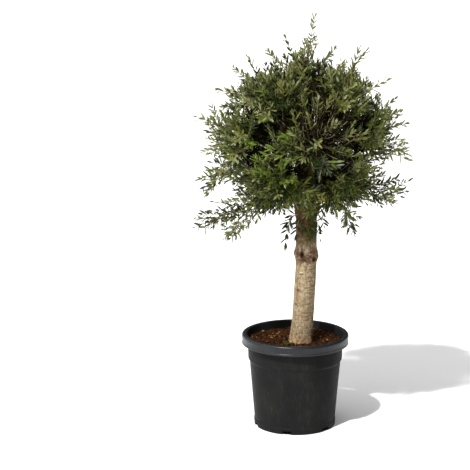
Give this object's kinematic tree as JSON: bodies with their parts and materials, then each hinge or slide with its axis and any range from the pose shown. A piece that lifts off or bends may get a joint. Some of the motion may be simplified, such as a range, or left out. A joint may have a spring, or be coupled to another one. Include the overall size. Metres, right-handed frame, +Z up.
{
  "type": "potted olive tree",
  "caption": "Round-headed olive tree: a leaning trunk forks into boughs that carry masses of leafy twigs, in a tapered nursery pot filled with soil.",
  "frame": {"origin": "centre of the pot's flat underside", "axes": "+Z up along the trunk, -Y towards the front of the tree, +X to the right as seen from the front"},
  "size_m": [0.7974, 0.6272, 1.5453],
  "materials": {
    "pot_plastic": "satin",
    "soil": "matte",
    "bark": "matte",
    "foliage": "matte"
  },
  "bodies": {
    "root": {"pot": "pot_plastic", "soil": "soil", "trunk": "bark", "bough_leader": "bark", "bough_right": "bark", "bough_right_back_high": "bark", "bough_back": "bark", "bough_left_back_high": "bark", "bough_left": "bark", "bough_left_front_high": "bark", "bough_front": "bark", "bough_right_front_high": "bark", "foliage_right": "foliage", "foliage_back": "foliage", "foliage_left": "foliage", "foliage_front": "foliage", "foliage_right_back_high": "foliage", "foliage_left_back_high": "foliage", "foliage_left_front_high": "foliage", "foliage_right_front_high": "foliage", "foliage_right_back_low": "foliage", "foliage_left_back_low": "foliage", "foliage_left_front_low": "foliage", "foliage_right_front_low": "foliage", "foliage_top": "foliage"}
  },
  "joints": []
}
